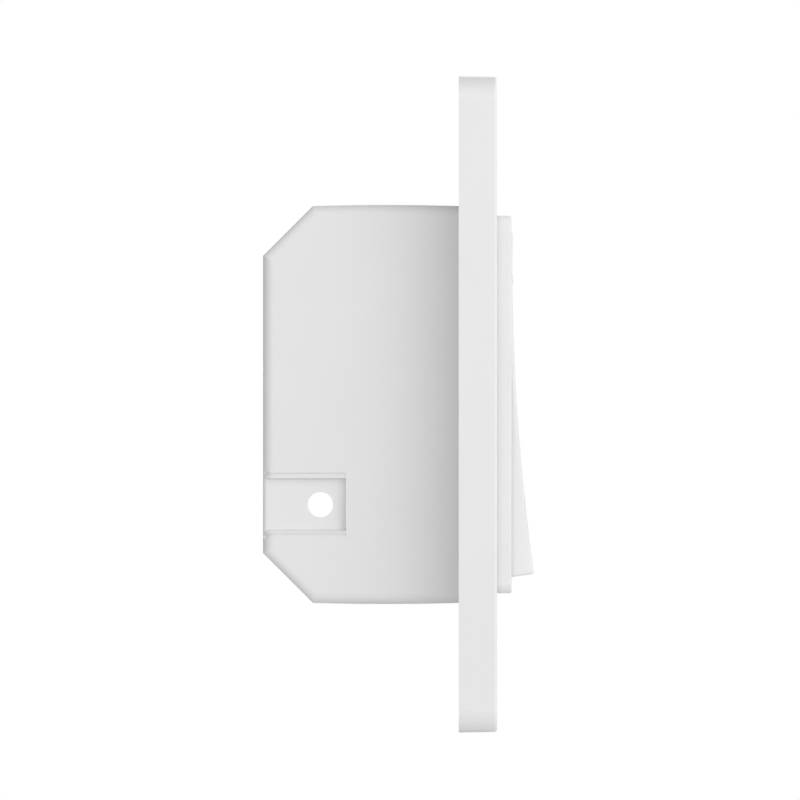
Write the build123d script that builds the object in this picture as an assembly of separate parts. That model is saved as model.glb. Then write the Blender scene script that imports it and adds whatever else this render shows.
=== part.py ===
from build123d import *
import os
from math import radians, sin, sqrt, tan

# A one-gang in-wall smart paddle switch with a screwless wall plate.
# Lengths are millimetres. Y = 0 is the wall's surface, the room is on the -Y side, +Z is up
# and +X is to the right for someone in the room. The origin is midway between the box-screw slots.

# Wall plate
plate_height = 114.3
plate_width = 69.85
plate_depth = 6.7
plate_face_wall = 2.0
plate_rim_wall = 1.8
plate_draft_deg = 1.0
plate_corner_radius = 3.8
plate_edge_radius = 0.5
plate_reveal = 0.35

# Bezel and flange of the front frame
bezel_height = 65.8
bezel_width = 33.0
bezel_proud = 2.52
bezel_corner_radius = 1.6
bezel_edge_radius = 0.35
flange_height = 70.0
flange_thickness = 2.4
flange_corner_radius = 2.0
bridge_thickness = 1.4
bridge_height = 7.0

# Paddle
paddle_height = 60.2
paddle_width = 27.4
paddle_wall = 1.8
paddle_skirt = 1.4
paddle_side_gap = 0.3
paddle_end_gap = 0.5
paddle_proud = 0.13
paddle_face_radius = 388.0
paddle_face_low_z = 24.7
paddle_end_slope_deg = 7.5
paddle_edge_radius = 0.45
paddle_swing_deg = 1.5
paddle_rib = 1.0
paddle_rib_depth = 2.4
paddle_rib_pitch = 11.0
paddle_skirt_clearance = 2.0

# Paddle hinge and the lips that stop the paddle from falling out
pivot_z = 27.0
pivot_y = -4.0
pin_radius = 1.2
pin_length = 1.5
pin_lobe_wall = 0.7
running_clearance = 0.05
stop_x = 7.0
stop_width = 4.0
stop_thickness = 1.0
stop_reach = 0.9
stop_front_y = -6.0

# Steel strap and the screws that it takes
strap_thickness = 1.2
strap_end_gap = 4.65
strap_body_height = 70.0
strap_body_inset = 0.5
ear_width = 34.0
ear_corner_radius = 3.0
box_screw_step = 6.75
box_slot_length = 7.2
box_slot_width = 4.4
plate_screw_inset = 4.1
plate_screw_radius = 1.4
plate_screw_head_radius = 2.4
plate_screw_head_height = 1.0
frame_screw_x = 19.0
frame_screw_z = 30.6
frame_screw_radius = 1.25
frame_screw_head_radius = 2.1
frame_screw_head_height = 1.0
frame_screw_length = 11.0
screw_clearance = 0.2
thread_clearance = 0.05
drive_slot_width = 0.7
part_clearance = 0.15

# Snap frame behind the wall plate
subframe_thickness = 1.6
subframe_rim = 1.4
subframe_snap_gap = 0.45
subframe_face_gap = 0.2
snap_width = 9.0
snap_depth = 0.9
snap_height = 0.8
snap_pitch = 28.0

# Rear housing
housing_depth = 34.1
housing_height = 69.15
housing_width = 44.0
housing_rear_width = 43.0
housing_crown = 0.18
housing_crown_y = 13.6
housing_chamfer = 8.7
housing_wall = 1.8
housing_edge_radius = 1.8
boss_wall = 1.25
boss_length = 16.0
boss_floor = 2.0
ledge_width = 1.3
ledge_height = 3.0
upper_ledge_z = 8.2

# Side pockets of the housing and the tube that joins them
pocket_height = 9.5
pocket_depth_front = 2.0
pocket_depth_rear = 1.1
pocket_wall_slope_deg = 14.0
pocket_wall = 1.6
pocket_floor_radius = 0.7
pocket_flare = 0.5
pocket_flare_length = 1.0
rim_lip = 0.25
rim_groove_width = 0.55
rim_groove_depth = 0.35
tube_bore_radius = 2.2
tube_wall = 1.2
tube_rear_gap = 8.2
tube_z = -17.45

# Circuit boards
board_thickness = 1.6
board_corner_radius = 1.0
control_board_y = 3.4
control_board_width = 39.0
control_board_end_gap = 1.6
power_board_width = 36.6
power_board_end_gap = 0.9
insulator_thickness = 0.4
insulator_margin = 0.5

# Tact switch, light guide and return spring on the centre line
tact_z = -14.0
tact_body_width = 6.2
tact_cover_inset = 0.4
tact_cover_height = 0.5
tact_hole_gap = 0.4
tact_front_y = -0.6
tact_button_radius = 1.7
tact_button_tip_y = -3.6
tact_button_length = 4.8
tact_press_gap = 0.1
led_z = 22.0
led_width = 3.5
led_length = 2.8
led_height = 1.1
guide_radius = 1.4
guide_collar_radius = 2.3
guide_swing_gap = 0.35
lens_radius = 0.75
lens_flange_radius = 1.7
lens_flange_thickness = 0.6
lens_proud = 0.15
lens_seat_gap = 0.02
spring_z = -20.0
spring_rise = 7.0
spring_width = 5.0
spring_sheet = 0.3
spring_bend_radius = 0.8
spring_stake = 1.6
spring_tip_length = 2.0
spring_tip_drop = 1.2
spring_pad_thickness = 0.9

# Radio on the control board
wifi_z = 13.0
wifi_width = 15.8
wifi_length = 24.0
wifi_thickness = 0.8
wifi_pad_count = 8
wifi_pad_pitch = 2.0
shield_inset = 1.2
shield_length = 15.6
shield_height = 2.3
shield_sheet = 0.2

# Header between the boards
header_pin_count = 8
header_pitch = 2.54
header_z = -20.0
header_width = 2.5
header_base_height = 2.5
header_pin_width = 0.64
header_pin_length = 4.5

# Parts that stand on the power board
part_gap = 1.2
board_margin = 1.5
relay_width = 10.2
relay_length = 19.6
relay_height = 12.4
relay_rear_gap = 1.85
transformer_width = 13.2
transformer_length = 12.6
transformer_height = 11.8
transformer_base = 1.8
core_leg = 1.6
core_yoke = 2.0
core_depth = 6.4
bulk_radius = 4.1
bulk_height = 12.0
bulk_gap = 0.6
output_radius = 3.15
output_height = 8.0
x_capacitor_width = 13.0
x_capacitor_length = 5.0
x_capacitor_height = 10.6
case_edge_radius = 0.8
varistor_radius = 3.8
varistor_thickness = 3.4
varistor_lead_pitch = 5.0
fuse_radius = 2.1
fuse_length = 9.4
lead_radius = 0.35
lead_reach = 1.6

# Terminals under the upper rear chamfer
pole_count = 4
pole_pitch = 8.5
wire_hole_radius = 2.0
wire_rear_gap = 5.3
clamp_z = 19.5
clamp_wall = 0.9
clamp_height = 5.8
clamp_width = 6.4
clamp_thread_wall = 1.4
clamp_tail_width = 1.0
clamp_tail_thickness = 0.8
block_wall = 1.2
block_skirt = 2.0
terminal_screw_radius = 1.7
terminal_head_radius = 2.7
terminal_head_height = 1.7
terminal_head_gap = 0.6
window_lip = 0.7
fin_inset = 0.4

# Ground strip
ground_strip_width = 4.0
ground_strip_thickness = 0.5
ground_foot_gap = 1.275
ground_pad_length = 4.6
ground_board_gap = 0.4

# Levels along Y that follow from the sizes above
plate_front = -plate_depth
plate_inner_face = plate_face_wall - plate_depth
bezel_front = plate_front - bezel_proud
strap_front = -strap_thickness
flange_front = strap_front - flange_thickness
subframe_front = strap_front - subframe_thickness
paddle_skirt_rear = strap_front - paddle_skirt_clearance
control_board_rear = control_board_y + board_thickness
inner_rear = housing_depth - housing_wall
power_board_rear = inner_rear - relay_rear_gap - relay_height
power_board_y = power_board_rear - board_thickness
pocket_front_y = power_board_rear + pocket_wall
pocket_floor_rear_x = housing_rear_width / 2 - pocket_depth_rear
mouth_front_y = housing_depth - pocket_flare_length
mouth_rear_y = housing_depth + pocket_flare_length
mouth_flare = 2 * pocket_flare
tube_y = inner_rear - tube_rear_gap
wire_y = inner_rear - wire_rear_gap
face_low_y = bezel_front - paddle_proud
lens_face_y = face_low_y - (paddle_face_low_z - led_z) ** 2 / (2 * paddle_face_radius)
lens_seat_y = lens_face_y + paddle_wall
spring_face_y = face_low_y - (paddle_face_low_z - spring_z) ** 2 / (2 * paddle_face_radius)
spring_pad_y = spring_face_y + paddle_wall + spring_pad_thickness
clamp_front = wire_y - wire_hole_radius - clamp_wall - window_lip
screw_tip_y = wire_y + wire_hole_radius + fin_inset
clamp_rear = screw_tip_y + clamp_thread_wall
window_front_y = wire_y - wire_hole_radius - fin_inset
window_rear_y = inner_rear - window_lip
block_rear = inner_rear - part_clearance

# Widths, heights and places that follow from the sizes above
strap_height = plate_height - 2 * strap_end_gap
plate_screw_spacing = strap_height - 2 * plate_screw_inset
box_screw_spacing = plate_screw_spacing - 2 * box_screw_step
flange_width = housing_width
window_height = paddle_height + 2 * paddle_end_gap
window_width = paddle_width + 2 * paddle_side_gap
inner_half_width = housing_width / 2 - housing_wall
inner_half_height = housing_height / 2 - housing_wall
ground_foot_top = inner_half_height - ground_foot_gap
chamfer_sum = housing_depth - housing_chamfer + housing_height / 2
inner_chamfer_sum = chamfer_sum - housing_wall * sqrt(2)
block_top = inner_chamfer_sum - block_rear - part_clearance
block_bottom = clamp_z - clamp_height / 2 - block_skirt
block_half_width = pole_count * pole_pitch / 2 + block_wall / 2
tube_radius = tube_bore_radius + tube_wall
stop_travel = (paddle_height / 2 + pivot_z) * sin(radians(paddle_swing_deg))
boss_inner_x = frame_screw_x - frame_screw_radius - boss_wall
boss_inner_z = frame_screw_z - frame_screw_radius - boss_wall
control_board_height = 2 * (boss_inner_z - control_board_end_gap)
power_board_height = 2 * (boss_inner_z - power_board_end_gap)
spring_foot_z = spring_z - spring_rise / 2
relay_x = -power_board_width / 2 + board_margin + relay_width / 2
relay_z = block_bottom - part_gap - relay_length / 2
transformer_x = relay_x + relay_width / 2 + part_gap + transformer_width / 2
transformer_z = block_bottom - part_gap - transformer_length / 2
bulk_x = transformer_x + transformer_width / 2 + part_gap + bulk_radius
bulk_top_z = block_bottom - part_gap - bulk_radius
bulk_low_z = bulk_top_z - 2 * bulk_radius - bulk_gap
output_x = relay_x + relay_width / 2 + part_gap + output_radius
output_z = transformer_z - transformer_length / 2 - part_gap - output_radius
x_capacitor_x = bulk_x + bulk_radius - x_capacitor_width / 2
x_capacitor_z = bulk_low_z - bulk_radius - part_gap - x_capacitor_length / 2
varistor_x = x_capacitor_x
varistor_z = tube_z - tube_radius - part_gap - varistor_thickness / 2
fuse_x = relay_x + fuse_length / 4
fuse_z = tube_z - tube_radius - part_gap - fuse_radius
pole_centres = [(index - (pole_count - 1) / 2) * pole_pitch for index in range(pole_count)]
header_xs = [(index - (header_pin_count - 1) / 2) * header_pitch for index in range(header_pin_count)]
corners = [(side_x, side_z) for side_x in (-1, 1) for side_z in (-1, 1)]

# Overshoot of a cutting solid past the face that it opens
cut = 1.0


def block(x0, x1, y0, y1, z0, z1):
    """A rectangular block between two opposite corners."""
    middle = Pos((x0 + x1) / 2, (y0 + y1) / 2, (z0 + z1) / 2)
    return middle * Box(abs(x1 - x0), abs(y1 - y0), abs(z1 - z0))


def slab(sketch, y_rear, y_front):
    """A front-view sketch in X and Z, thickened from y_rear towards the room."""
    return extrude(Plane.XZ.offset(-y_rear) * sketch, amount=y_rear - y_front)


def rod(x, z, y_rear, y_front, radius):
    """A round rod along Y."""
    return slab(Pos(x, z) * Circle(radius), y_rear, y_front)


def cross_rod(x0, x1, y, z, radius):
    """A round rod along X."""
    start = Plane(origin=(min(x0, x1), y, z), x_dir=(0, 1, 0), z_dir=(1, 0, 0))
    return extrude(start * Circle(radius), amount=abs(x1 - x0))


def sink(x, y, z, radius, depth):
    """A 45 degree countersink that narrows from y into the wall."""
    mouth = Plane(origin=(x, y, z), x_dir=(1, 0, 0), z_dir=(0, 1, 0))
    return extrude(mouth * Circle(radius), amount=depth, taper=45)


def side_prism(points, x0, x1):
    """A side-view outline in Y and Z, thickened from x0 to x1."""
    return extrude(Pos(x0, 0, 0) * make_face(Plane.YZ * Polyline(*points, close=True)), amount=x1 - x0)


def drive_slot(x, z, y0, y1, reach):
    """The cut of a screwdriver's slot across a head."""
    half = drive_slot_width / 2
    return block(x - reach, x + reach, y0, y1, z - half, z + half)


def front_rim(solid):
    """The outer edges of the face nearest the room."""
    return solid.faces().sort_by(Axis.Y)[0].outer_wire().edges()


# Wall plate


def make_wall_plate():
    """Drafted shell with the bezel's opening and inner tabs that clip behind the snap frame."""
    outline = RectangleRounded(plate_width, plate_height, plate_corner_radius)
    plate = extrude(Plane.XZ * outline, amount=plate_depth, taper=plate_draft_deg)
    plate = fillet(front_rim(plate), plate_edge_radius)
    inner_width = plate_width - 2 * plate_rim_wall
    inner_height = plate_height - 2 * plate_rim_wall
    inner_outline = RectangleRounded(inner_width, inner_height, plate_corner_radius - plate_rim_wall)
    plate -= extrude(Plane.XZ * inner_outline, amount=-plate_inner_face, taper=plate_draft_deg)
    opening_width = bezel_width + 2 * plate_reveal
    opening_height = bezel_height + 2 * plate_reveal
    opening = RectangleRounded(opening_width, opening_height, bezel_corner_radius)
    plate -= slab(opening, plate_inner_face + cut, plate_front - cut)
    tab_front = strap_front + part_clearance
    for side in (-1, 1):
        root_z = side * (inner_height + plate_rim_wall) / 2
        tip_z = side * (inner_height / 2 - snap_depth)
        for x in (-snap_pitch / 2, snap_pitch / 2):
            half = snap_width / 2
            plate += block(x - half, x + half, tab_front, tab_front + snap_height, tip_z, root_z)
    return plate


# Snap frame under the wall plate


def make_plate_subframe():
    """Thin frame screwed to the strap's ears, with a stiffening rim that backs the wall plate."""
    margin = plate_rim_wall + subframe_snap_gap
    outer_width = plate_width - 2 * margin
    outer_height = plate_height - 2 * margin
    corner = plate_corner_radius - plate_rim_wall
    opening = RectangleRounded(flange_width + 2 * plate_reveal, flange_height + 2 * plate_reveal, 1.0)
    notch_top = box_screw_spacing / 2 + box_slot_width / 2 + plate_screw_head_radius / 2
    opening += RectangleRounded(box_slot_length + 2 * plate_screw_head_radius / 2, 2 * notch_top, 1.0)
    frame = slab(RectangleRounded(outer_width, outer_height, corner) - opening, strap_front, subframe_front)
    draft_inset = tan(radians(plate_draft_deg)) * plate_depth
    rim_width = outer_width - 2 * draft_inset
    rim_height = outer_height - 2 * draft_inset
    rim = RectangleRounded(rim_width, rim_height, corner)
    rim -= RectangleRounded(rim_width - 2 * subframe_rim, rim_height - 2 * subframe_rim, corner / 2)
    frame += slab(rim, subframe_front, plate_inner_face + subframe_face_gap)
    for side in (-1, 1):
        screw_z = side * plate_screw_spacing / 2
        frame -= rod(0, screw_z, strap_front + cut, plate_inner_face, plate_screw_radius + screw_clearance)
        head_radius = plate_screw_head_radius + screw_clearance
        frame -= sink(0, subframe_front, screw_z, head_radius, plate_screw_head_height)
    return frame


def make_plate_screws():
    """Two short countersunk screws from the snap frame into the strap's threaded holes."""
    screws = Part()
    for side in (-1, 1):
        screw_z = side * plate_screw_spacing / 2
        head = sink(0, subframe_front, screw_z, plate_screw_head_radius, plate_screw_head_height)
        shank = rod(0, screw_z, -part_clearance, subframe_front, plate_screw_radius - thread_clearance)
        reach = plate_screw_head_radius + cut
        slot_floor = subframe_front + plate_screw_head_height / 2
        screws += head + shank - drive_slot(0, screw_z, subframe_front - cut, slot_floor, reach)
    return screws


# Steel strap


def make_mounting_strap():
    """Stamped strap with box-screw slots, threaded holes and a lanced stake for the return spring."""
    outline = RectangleRounded(flange_width - 2 * strap_body_inset, strap_body_height, flange_corner_radius)
    outline += RectangleRounded(ear_width, strap_height, ear_corner_radius)
    for side in (-1, 1):
        outline -= Pos(0, side * box_screw_spacing / 2) * SlotOverall(box_slot_length, box_slot_width)
        outline -= Pos(0, side * plate_screw_spacing / 2) * Circle(plate_screw_radius)
    for side_x, side_z in corners:
        place = Pos(side_x * frame_screw_x, side_z * frame_screw_z)
        outline -= place * Circle(frame_screw_radius + screw_clearance)
    tact_hole = tact_body_width + 2 * tact_hole_gap
    outline -= Pos(0, tact_z) * Rectangle(tact_hole, tact_hole)
    outline -= Pos(0, led_z) * Circle(guide_collar_radius + screw_clearance)
    stake = Pos(0, spring_foot_z) * Rectangle(spring_stake, spring_stake)
    return slab(outline, 0, strap_front) + slab(stake, 0, strap_front - 2 * spring_sheet)


# Front frame with the bezel


def make_front_frame():
    """Flange and bezel ring with hinge sockets, stop pockets and a bridge that carries the light guide."""
    flange_outline = RectangleRounded(flange_width, flange_height, flange_corner_radius)
    ring = slab(RectangleRounded(bezel_width, bezel_height, bezel_corner_radius), strap_front, bezel_front)
    frame = slab(flange_outline, strap_front, flange_front) + fillet(front_rim(ring), bezel_edge_radius)
    window = RectangleRounded(window_width, window_height, bezel_corner_radius / 2)
    frame -= slab(window, strap_front + cut, bezel_front - cut)
    bridge_half = window_width / 2 + part_clearance
    bridge_z = led_z - bridge_height / 2
    bridge_front = strap_front - bridge_thickness
    frame += block(-bridge_half, bridge_half, bridge_front, strap_front, bridge_z, bridge_z + bridge_height)
    frame -= rod(0, led_z, strap_front + cut, flange_front, guide_radius + part_clearance)
    socket_end = paddle_width / 2 + pin_length + part_clearance
    frame -= cross_rod(-socket_end, socket_end, pivot_y, pivot_z, pin_radius + running_clearance)
    for side_x, side_z in corners:
        hole_radius = frame_screw_radius + screw_clearance
        x = side_x * frame_screw_x
        z = side_z * frame_screw_z
        frame -= rod(x, z, strap_front + cut, flange_front - cut, hole_radius)
    pocket_half = stop_width / 2 + screw_clearance
    pocket_top = -window_height / 2 + cut / 2
    pocket_bottom = -paddle_height / 2 - stop_reach - 2 * screw_clearance
    pocket_front = stop_front_y - running_clearance
    pocket_rear = stop_front_y + stop_thickness + stop_travel + screw_clearance
    for x in (-stop_x, stop_x):
        frame -= block(x - pocket_half, x + pocket_half, pocket_front, pocket_rear, pocket_bottom, pocket_top)
    return frame


def make_frame_screws():
    """Four pan-head screws from the frame's flange through the strap into the housing's bosses."""
    screws = Part()
    head_front = flange_front - frame_screw_head_height
    for side_x, side_z in corners:
        x = side_x * frame_screw_x
        z = side_z * frame_screw_z
        screw = rod(x, z, flange_front, head_front, frame_screw_head_radius)
        screw += rod(x, z, flange_front + frame_screw_length, flange_front, frame_screw_radius)
        slot_floor = head_front + frame_screw_head_height / 2
        reach = frame_screw_head_radius + cut
        screws += screw - drive_slot(x, z, head_front - cut, slot_floor, reach)
    return screws


# Paddle and what rides on it


def paddle_side_view(inset, rear_y):
    """Side view of the paddle, inset from its outer faces and closed at rear_y."""
    top = paddle_height / 2 - inset
    bottom = -paddle_height / 2 + inset
    radius = paddle_face_radius + inset
    centre_y = face_low_y - paddle_face_radius
    slope_start_y = bezel_front + bezel_edge_radius

    def face_y(z):
        return centre_y + sqrt(radius**2 - (z - paddle_face_low_z) ** 2)

    corner_z = bottom + tan(radians(paddle_end_slope_deg)) * (slope_start_y - face_y(bottom))
    middle_z = (top + corner_z) / 2
    corner = (face_y(corner_z), corner_z)
    face_top = (face_y(top), top)
    edges = [
        Polyline(face_top, (rear_y, top), (rear_y, bottom), (slope_start_y, bottom), corner),
        ThreePointArc(corner, (face_y(middle_z), middle_z), face_top),
    ]
    return make_face(Plane.YZ * Curve(edges))


def paddle_ribs():
    """Ribs, switch pusher and spring pad, to be trimmed to the paddle's hollow."""
    half = paddle_width / 2
    far_front = bezel_front - paddle_height
    rib_rear = spring_pad_y + paddle_rib_depth
    half_rib = paddle_rib / 2
    side_rib_x = spring_width / 2 + paddle_rib_pitch / 4
    ribs = Part()
    for step in range(3):
        z = tact_z + (step + 0.5) * paddle_rib_pitch
        ribs += block(-half, half, rib_rear, far_front, z - half_rib, z + half_rib)
    top_rib_z = tact_z + 2.5 * paddle_rib_pitch
    for x in (-side_rib_x, side_rib_x):
        ribs += block(x - half_rib, x + half_rib, rib_rear, far_front, -paddle_height / 2, top_rib_z)
    pusher_rear = tact_button_tip_y - tact_press_gap
    pusher_half = tact_button_radius + screw_clearance
    ribs += block(-pusher_half, pusher_half, pusher_rear, far_front, tact_z - paddle_rib, tact_z + paddle_rib)
    pusher_web_top = tact_z + paddle_rib_pitch / 2
    ribs += block(-half_rib, half_rib, rib_rear, far_front, tact_z - paddle_rib, pusher_web_top)
    pad_low = spring_z - spring_tip_length
    ribs += block(-side_rib_x, side_rib_x, spring_pad_y, far_front, pad_low, spring_z + spring_tip_length)
    return ribs


def make_paddle():
    """Concave paddle: a shell with skirts, ribs, hinge pins, switch pusher, spring post and stop lips."""
    half = paddle_width / 2
    outer = extrude(paddle_side_view(0, paddle_skirt_rear), amount=half, both=True)
    outer = fillet(outer.edges().filter_by(lambda edge: edge.center().Y < bezel_front), paddle_edge_radius)
    hollow = extrude(
        paddle_side_view(paddle_wall, paddle_skirt_rear + cut), amount=half - paddle_skirt, both=True
    )
    paddle = outer - hollow
    for side in (-1, 1):
        inner = side * (half - paddle_skirt)
        paddle += cross_rod(inner, side * half, pivot_y, pivot_z, pin_radius + pin_lobe_wall)
        paddle += cross_rod(inner, side * (half + pin_length), pivot_y, pivot_z, pin_radius)
    paddle += paddle_ribs() & hollow
    lip_top = -paddle_height / 2 + paddle_wall / 2
    lip_bottom = -paddle_height / 2 - stop_reach
    for x in (-stop_x, stop_x):
        lip_rear = stop_front_y + stop_thickness
        paddle += block(x - stop_width / 2, x + stop_width / 2, stop_front_y, lip_rear, lip_bottom, lip_top)
    return paddle - rod(0, led_z, lens_seat_y + cut, lens_face_y - cut, lens_radius + running_clearance)


def make_indicator_lens():
    """Clear plug with a bevelled head on the paddle's face and a flange behind it."""
    flange_front_y = lens_seat_y + lens_seat_gap
    stem = rod(0, led_z, flange_front_y, lens_face_y - lens_proud, lens_radius)
    stem = chamfer(stem.edges().sort_by(Axis.Y)[0], lens_proud)
    return stem + rod(0, led_z, flange_front_y + lens_flange_thickness, flange_front_y, lens_flange_radius)


def make_light_guide():
    """Clear rod from the indicator LED to the lens, held by a collar between bridge and insulator."""
    guide_front = lens_seat_y + lens_seat_gap + lens_flange_thickness + guide_swing_gap
    guide_rear = control_board_y - led_height - part_clearance
    stem = rod(0, led_z, guide_rear, guide_front, guide_radius)
    return stem + rod(0, led_z, -part_clearance, strap_front, guide_collar_radius)


def make_paddle_spring():
    """Steel leaf: a foot staked to the strap, a bend, and an arm whose curled tip lifts the paddle."""
    foot_y = strap_front - spring_sheet / 2
    side_view = FilletPolyline(
        (foot_y, spring_z),
        (foot_y, spring_z - spring_rise),
        (spring_pad_y, spring_z),
        (spring_pad_y + spring_tip_drop, spring_z + spring_tip_length),
        radius=spring_bend_radius,
    )
    strip = Plane.YZ * trace(side_view, line_width=spring_sheet)
    hole_width = spring_stake + 2 * screw_clearance
    hole = Pos(0, spring_foot_z) * Rectangle(hole_width, hole_width)
    leaf = extrude(strip, amount=spring_width / 2, both=True)
    return leaf - slab(hole, strap_front + cut, strap_front - spring_sheet - cut / 2)


# Electronics behind the strap


def make_insulator_sheet():
    """Thin fibre sheet between the strap and the electronics."""
    half_width = inner_half_width - insulator_margin
    half_height = inner_half_height - insulator_margin
    sheet = Rectangle(2 * half_width, 2 * (boss_inner_z - insulator_margin))
    sheet += Rectangle(2 * (boss_inner_x - insulator_margin), 2 * half_height)
    tact_hole = tact_body_width + 2 * tact_hole_gap
    sheet -= Pos(0, tact_z) * Rectangle(tact_hole, tact_hole)
    sheet -= Pos(0, led_z) * Circle(guide_radius + 2 * part_clearance)
    foot_bottom = power_board_height / 2
    foot_cut = Rectangle(ground_strip_width + 4 * part_clearance, inner_half_height - foot_bottom)
    sheet -= Pos(pole_centres[-1], (inner_half_height + foot_bottom) / 2) * foot_cut
    return slab(sheet, insulator_thickness, 0)


def make_tact_switch_body():
    """Square body of the tact switch, with its metal cover as a step and the button's bore."""
    half = tact_body_width / 2
    cover = half - tact_cover_inset
    step_y = tact_front_y + tact_cover_height
    body = block(-half, half, step_y, control_board_y, tact_z - half, tact_z + half)
    body += block(-cover, cover, tact_front_y, step_y, tact_z - cover, tact_z + cover)
    bore_floor = tact_button_tip_y + tact_button_length + stop_travel
    return body - rod(0, tact_z, bore_floor, tact_front_y - cut, tact_button_radius + running_clearance)


def make_tact_switch_button():
    """Round button that the paddle's pusher drives in."""
    button = rod(0, tact_z, tact_button_tip_y + tact_button_length, tact_button_tip_y, tact_button_radius)
    return chamfer(button.edges().sort_by(Axis.Y)[0], tact_button_radius / 8)


def make_indicator_led():
    """Surface-mounted LED behind the light guide."""
    half_width = led_width / 2
    half_length = led_length / 2
    front = control_board_y - led_height
    return block(-half_width, half_width, front, control_board_y, led_z - half_length, led_z + half_length)


def make_control_board():
    """Front circuit board with the switch, the LED and the radio."""
    board = RectangleRounded(control_board_width, control_board_height, board_corner_radius)
    return slab(board, control_board_rear, control_board_y)


def make_wifi_module():
    """Radio board soldered flat on the rear of the control board, with castellated long edges."""
    outline = Pos(0, wifi_z) * Rectangle(wifi_width, wifi_length)
    notch = wifi_pad_pitch / 2
    for index in range(wifi_pad_count):
        pad_z = wifi_z - wifi_length / 2 + (index + 1) * wifi_pad_pitch
        for side in (-1, 1):
            outline -= Pos(side * wifi_width / 2, pad_z) * Rectangle(notch, notch)
    return slab(outline, control_board_rear + wifi_thickness, control_board_rear)


def make_wifi_shield_can():
    """Drawn metal can over the radio chip."""
    base = control_board_rear + wifi_thickness
    width = wifi_width - 2 * shield_inset
    centre = Pos(0, wifi_z - wifi_length / 2 + shield_inset + shield_length / 2)
    outline = centre * RectangleRounded(width, shield_length, board_corner_radius)
    can = slab(outline, base + shield_height, base)
    can = chamfer(can.faces().sort_by(Axis.Y)[-1].edges(), shield_sheet)
    inside = Rectangle(width - 2 * board_corner_radius, shield_length - 2 * board_corner_radius)
    return can - slab(centre * inside, base + shield_height - shield_sheet, base - cut)


def make_header_socket():
    """Black socket strip on the rear of the control board."""
    half = header_pin_count * header_pitch / 2
    rear = power_board_y - header_base_height
    low_z = header_z - header_width / 2
    socket = block(-half, half, control_board_rear, rear, low_z, low_z + header_width)
    hole = header_pin_width / 2 + part_clearance
    hole_floor = rear - header_pin_length - part_clearance
    for x in header_xs:
        socket -= block(x - hole, x + hole, hole_floor, rear + cut, header_z - hole, header_z + hole)
    return socket


def make_header_pins():
    """Pin strip on the front of the power board, plugged into the socket."""
    half = header_pin_count * header_pitch / 2
    base_front = power_board_y - header_base_height
    low_z = header_z - header_width / 2
    pins = block(-half, half, base_front, power_board_y, low_z, low_z + header_width)
    pin = header_pin_width / 2
    tip = base_front - header_pin_length
    for x in header_xs:
        pins += block(x - pin, x + pin, tip, base_front, header_z - pin, header_z + pin)
    return pins


# Power board and what stands on its rear face


def make_power_board():
    """Rear circuit board, with slots for the terminals' solder tails."""
    board = RectangleRounded(power_board_width, power_board_height, board_corner_radius)
    slot_width = clamp_tail_width + 2 * screw_clearance
    slot_height = clamp_tail_thickness + 2 * screw_clearance
    for x in pole_centres:
        board -= Pos(x, clamp_z) * Rectangle(slot_width, slot_height)
    return slab(board, power_board_rear, power_board_y)


def moulded_case(x, z, width, length, height):
    """A moulded case with bevelled edges that stands on the power board's rear face."""
    outline = Pos(x, z) * RectangleRounded(width, length, case_edge_radius)
    case = slab(outline, power_board_rear + height, power_board_rear)
    return chamfer(case.faces().sort_by(Axis.Y)[-1].edges(), case_edge_radius / 2)


def make_relay():
    """Sealed mains relay."""
    return moulded_case(relay_x, relay_z, relay_width, relay_length, relay_height)


def make_transformer_core():
    """Ferrite core: two outer legs, two yokes and a centre leg through the bobbin."""
    half_width = transformer_width / 2
    half_length = transformer_length / 2
    front = power_board_rear + transformer_base + core_leg / 2
    rear = front + core_depth
    low_z = transformer_z - half_length
    high_z = transformer_z + half_length
    core = block(transformer_x - half_width, transformer_x + half_width, front, rear, low_z, high_z)
    for side in (-1, 1):
        near = transformer_x + side * core_leg
        far = transformer_x + side * (half_width - core_leg)
        core -= block(near, far, front - cut, rear + cut, low_z + core_yoke, high_z - core_yoke)
    return core


def make_transformer_bobbin():
    """Bobbin with its taped winding around the core's centre leg, on a pinned base."""
    half_width = transformer_width / 2
    half_length = transformer_length / 2
    core_front = power_board_rear + transformer_base + core_leg / 2
    base_rear = power_board_rear + transformer_base
    winding_width = 2 * (half_width - core_leg - part_clearance)
    winding_length = 2 * (half_length - core_yoke - part_clearance)
    outline = Pos(transformer_x, transformer_z) * RectangleRounded(
        winding_width, winding_length, case_edge_radius
    )
    bobbin = slab(outline, power_board_rear + transformer_height, base_rear)
    bobbin += block(
        transformer_x - half_width,
        transformer_x + half_width,
        power_board_rear,
        base_rear,
        transformer_z - half_length,
        transformer_z + half_length,
    )
    tunnel = core_leg + part_clearance
    return bobbin - block(
        transformer_x - tunnel,
        transformer_x + tunnel,
        core_front - part_clearance,
        core_front + core_depth + part_clearance,
        transformer_z - half_length,
        transformer_z + half_length,
    )


def make_can(x, z, radius, height):
    """Electrolytic capacitor on the power board, with a rolled edge at its lid."""
    roll = radius / 8
    profile = [(0, 0), (radius, 0), (radius, height - roll), (radius - roll, height), (0, height)]
    base = Plane(origin=(x, power_board_rear, z), x_dir=(1, 0, 0), z_dir=(0, 0, 1))
    outline = make_face(Polyline(*profile, close=True))
    return revolve(base * outline, axis=Axis((x, power_board_rear, z), (0, 1, 0)))


def lead(x, y, z):
    """A straight lead from y down to the power board."""
    return block(x - lead_radius, x + lead_radius, power_board_rear, y, z - lead_radius, z + lead_radius)


def make_bulk_capacitors():
    """Two mains filter capacitors."""
    return make_can(bulk_x, bulk_top_z, bulk_radius, bulk_height) + make_can(
        bulk_x, bulk_low_z, bulk_radius, bulk_height
    )


def make_output_capacitor():
    """Low-voltage filter capacitor."""
    return make_can(output_x, output_z, output_radius, output_height)


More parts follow.
